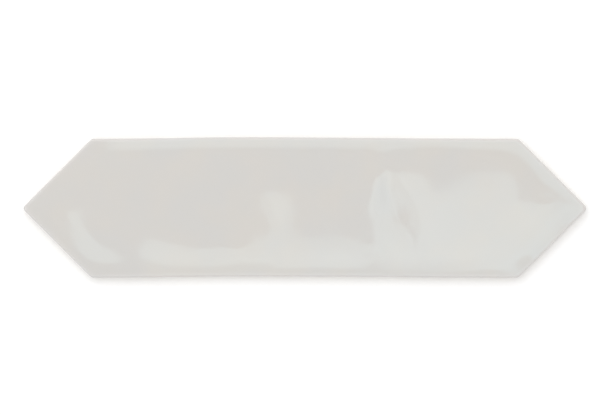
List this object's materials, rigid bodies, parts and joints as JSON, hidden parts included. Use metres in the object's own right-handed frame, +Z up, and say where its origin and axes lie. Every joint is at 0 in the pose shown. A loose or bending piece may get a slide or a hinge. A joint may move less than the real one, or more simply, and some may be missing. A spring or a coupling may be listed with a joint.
{
  "type": "picket tile",
  "caption": "Long glazed ceramic wall tile with a right-angled point at each end, a softly waved glossy face and a keyed back.",
  "frame": {"origin": "middle of the plane that the tile's back beds on", "axes": "+X along the tile's length towards one point, +Y across it, +Z up out of the glazed face"},
  "size_m": [0.3, 0.075, 0.0089],
  "materials": {
    "glaze": "gloss"
  },
  "bodies": {
    "root": {"picket_tile": "glaze"}
  },
  "joints": []
}
